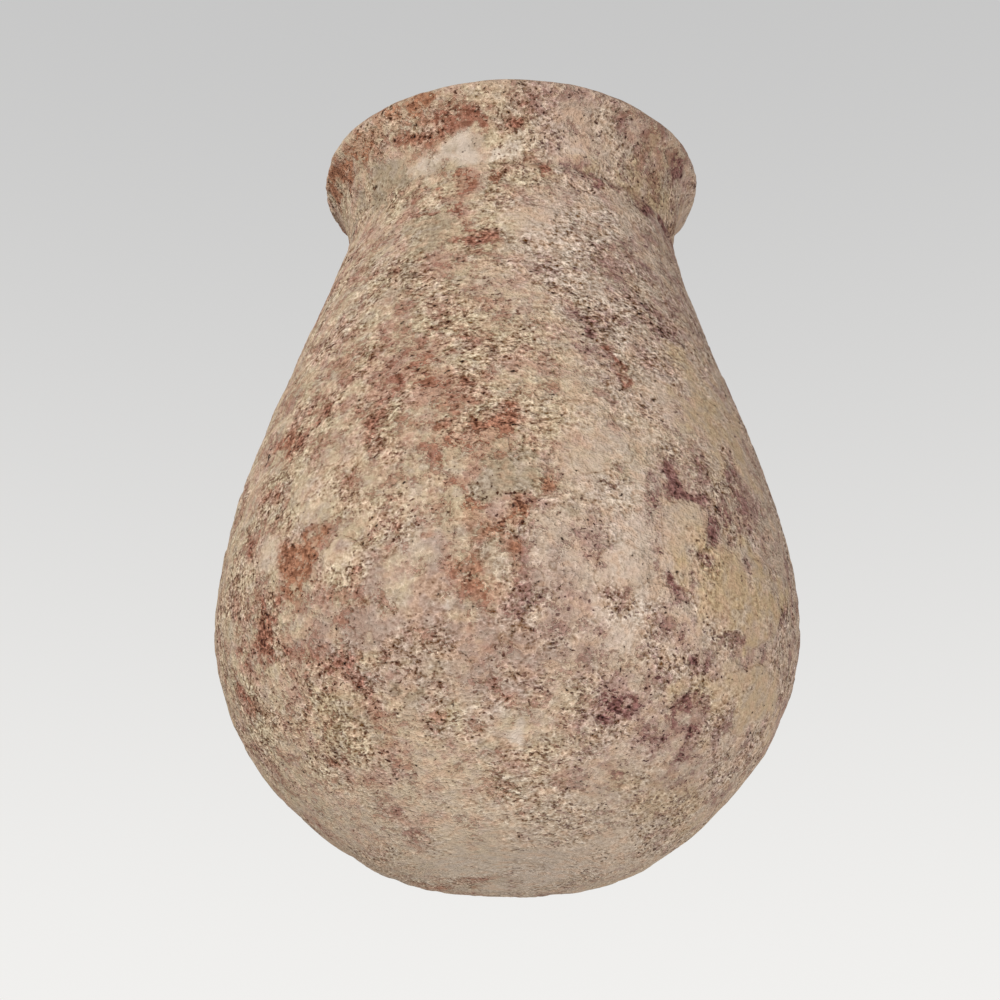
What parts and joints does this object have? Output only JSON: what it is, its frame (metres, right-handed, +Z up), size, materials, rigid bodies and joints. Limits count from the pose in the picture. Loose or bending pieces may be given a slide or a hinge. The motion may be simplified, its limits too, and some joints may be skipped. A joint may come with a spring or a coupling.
{
  "type": "terracotta jar",
  "caption": "Hand-built round-bottomed pear-shaped terracotta jar of stacked clay coils with a creased neck and a flaring collar rim, for storing and pouring.",
  "frame": {"origin": "centre of the worn flat under the base, on the surface the jar stands on", "axes": "+Z up along the jar's axis from the base to the mouth; -Y is the side that faces the viewer"},
  "size_m": [0.224, 0.224, 0.3],
  "materials": {
    "fired_clay_base": "matt low-fired clay under grey-buff burial crust",
    "fired_clay_wall": "matt low-fired clay with worn red slip, buff crust and maroon stains",
    "fired_clay_rim": "matt low-fired clay with worn red-brown slip and pale crust"
  },
  "bodies": {
    "root": {"base_bowl": "fired_clay_base", "wall_coil_01": "fired_clay_wall", "wall_coil_02": "fired_clay_wall", "wall_coil_03": "fired_clay_wall", "wall_coil_04": "fired_clay_wall", "wall_coil_05": "fired_clay_wall", "wall_coil_06": "fired_clay_wall", "wall_coil_07": "fired_clay_wall", "wall_coil_08": "fired_clay_wall", "wall_coil_09": "fired_clay_wall", "wall_coil_10": "fired_clay_wall", "wall_coil_11": "fired_clay_wall", "wall_coil_12": "fired_clay_wall", "neck_bead": "fired_clay_rim", "collar": "fired_clay_rim", "lip_coil": "fired_clay_rim"}
  },
  "joints": []
}
